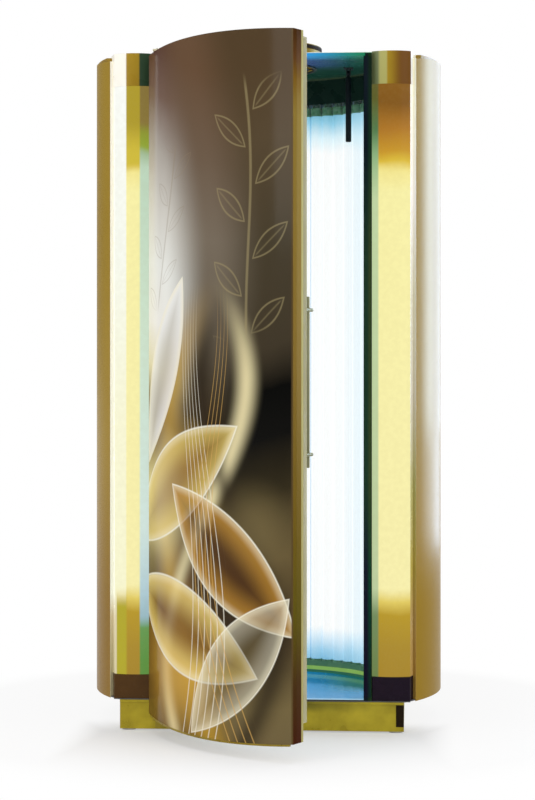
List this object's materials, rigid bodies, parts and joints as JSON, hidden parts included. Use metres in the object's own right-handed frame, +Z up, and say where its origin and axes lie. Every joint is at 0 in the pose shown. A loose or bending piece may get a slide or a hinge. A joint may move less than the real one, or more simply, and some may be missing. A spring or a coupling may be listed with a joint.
{
  "type": "vertical tanning booth",
  "caption": "Upright round tanning booth with a bowed swing door, a lamp-lined cabin, lit columns beside the doorway, hanging grips and a roof exhaust collar.",
  "frame": {"origin": "on the cabin's vertical axis, at the foot of the centre levelling foot, on the ground", "axes": "+X to the right of a person facing the doorway, -Y towards that person, +Z up"},
  "size_m": [1.14, 1.4499, 2.211],
  "materials": {
    "gold_paint": "satin metallic",
    "shell_paint": "satin metallic",
    "dark_paint": "gloss",
    "frame_steel": "matt",
    "zinc_steel": "satin",
    "bright_steel": "polished",
    "reflector": "polished",
    "gold_profile": "anodised",
    "door_print": "gloss printed",
    "lamp_glass": "lit tube",
    "column_glow": "translucent",
    "clear_acrylic": "clear",
    "gloss_floor": "gloss",
    "rubber": "matt",
    "black_plastic": "satin",
    "pale_plastic": "satin",
    "light_trim": "gloss",
    "start_green": "gloss",
    "stop_red": "gloss"
  },
  "bodies": {
    "cabin": {"levelling_feet": "zinc_steel", "base_frame": "frame_steel", "plinth_front": "gold_paint", "plinth_skirt": "gold_paint", "plinth_end_strip": "rubber", "mains_gland": "black_plastic", "floor_plate": "frame_steel", "standing_platform": "gloss_floor", "left_shell": "shell_paint", "right_shell": "shell_paint", "rear_cover": "shell_paint", "shell_screws": "bright_steel", "frame_posts": "zinc_steel", "left_jamb": "dark_paint", "right_jamb": "dark_paint", "jamb_seals": "rubber", "lamp_reflector": "reflector", "left_lamps": "lamp_glass", "rear_lamps": "lamp_glass", "right_lamps": "lamp_glass", "lamp_caps": "bright_steel", "lamp_sockets": "pale_plastic", "left_acrylic": "clear_acrylic", "rear_acrylic": "clear_acrylic", "right_acrylic": "clear_acrylic", "upper_lamp_ring": "dark_paint", "lower_lamp_ring": "dark_paint", "trim_rings": "light_trim", "roof_panel": "shell_paint", "exhaust_collar": "gold_paint", "collar_seal": "rubber", "fan_bracket": "zinc_steel", "fan_motor": "black_plastic", "fan_guard": "black_plastic", "left_column_body": "bright_steel", "right_column_body": "bright_steel", "left_column_diffuser": "column_glow", "right_column_diffuser": "column_glow", "column_lamps": "lamp_glass", "column_caps": "gold_paint", "column_bases": "dark_paint", "control_panel": "black_plastic", "grip_brackets": "black_plastic", "ballast_board": "zinc_steel", "ballasts": "frame_steel", "pivot_brackets": "dark_paint", "pivot_pins": "bright_steel"},
    "door": {"door_skin": "door_print", "door_hinge_profile": "gold_profile", "door_edge_profile": "gold_profile", "door_end_caps": "black_plastic", "door_reflector": "reflector", "door_lamps": "lamp_glass", "door_cover": "clear_acrylic", "door_handle": "bright_steel"},
    "fan": {"fan_rotor": "black_plastic"},
    "left_grip": {"left_hand_grip": "rubber"},
    "right_grip": {"right_hand_grip": "rubber"},
    "start_key": {"start_button": "start_green"},
    "stop_key": {"stop_button": "stop_red"}
  },
  "joints": [
    {"name": "door_hinge", "type": "hinge", "parent": "cabin", "child": "door", "pos_m": [-0.31884, -0.38676, 1], "axis": [0, 0, -1], "range_deg": [-46, 64]},
    {"name": "fan_spin", "type": "hinge", "parent": "cabin", "child": "fan", "pos_m": [0, 0, 2.16], "axis": [0, 0, 1], "continuous": true},
    {"name": "left_grip_swing", "type": "hinge", "parent": "cabin", "child": "left_grip", "pos_m": [-0.265, 0, 2.126], "axis": [1, 0, 0], "range_deg": [-35, 35]},
    {"name": "right_grip_swing", "type": "hinge", "parent": "cabin", "child": "right_grip", "pos_m": [0.265, 0, 2.126], "axis": [1, 0, 0], "range_deg": [-35, 35]},
    {"name": "start_press", "type": "slide", "parent": "cabin", "child": "start_key", "axis": [-1, 0, 0], "range_m": [0, 0.003], "stiffness_N_per_m": 250},
    {"name": "stop_press", "type": "slide", "parent": "cabin", "child": "stop_key", "axis": [-1, 0, 0], "range_m": [0, 0.003], "stiffness_N_per_m": 250}
  ]
}
